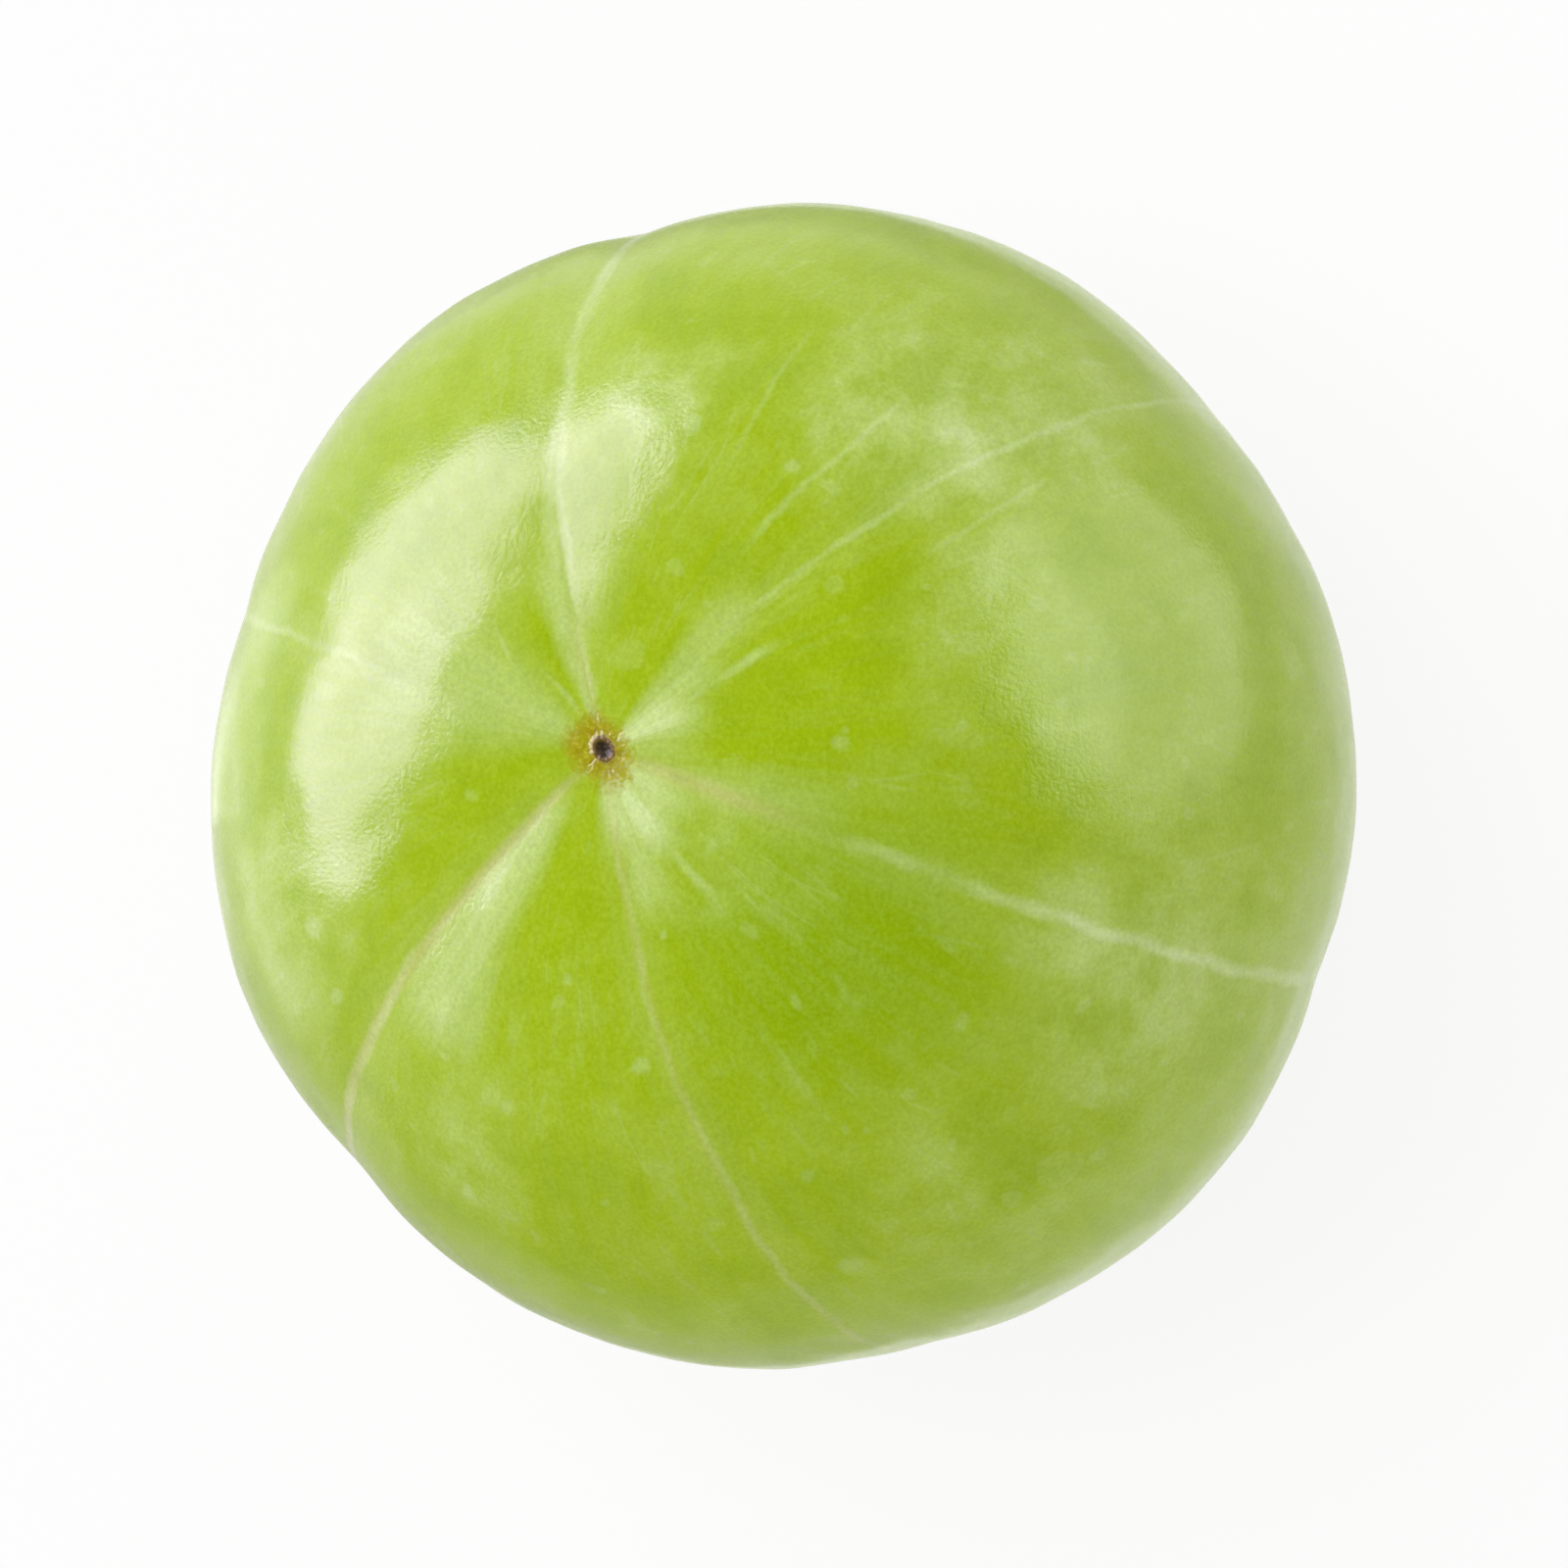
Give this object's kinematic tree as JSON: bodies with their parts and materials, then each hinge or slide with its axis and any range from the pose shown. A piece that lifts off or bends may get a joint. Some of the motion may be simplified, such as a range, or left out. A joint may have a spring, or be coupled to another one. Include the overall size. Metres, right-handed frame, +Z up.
{
  "type": "indian gooseberry",
  "caption": "Whole fresh round green fruit, slightly flattened and lobed by shallow furrows from stalk scar to blossom end, resting on a small flat spot.",
  "frame": {"origin": "on the flat spot under the fruit, under the middle of its bounding box", "axes": "+Z up along the fruit's own axis, from the blossom end to the stalk scar"},
  "size_m": [0.0374, 0.0368, 0.0304],
  "materials": {
    "fruit_skin": null
  },
  "bodies": {
    "root": {"fruit": "fruit_skin"}
  },
  "joints": []
}
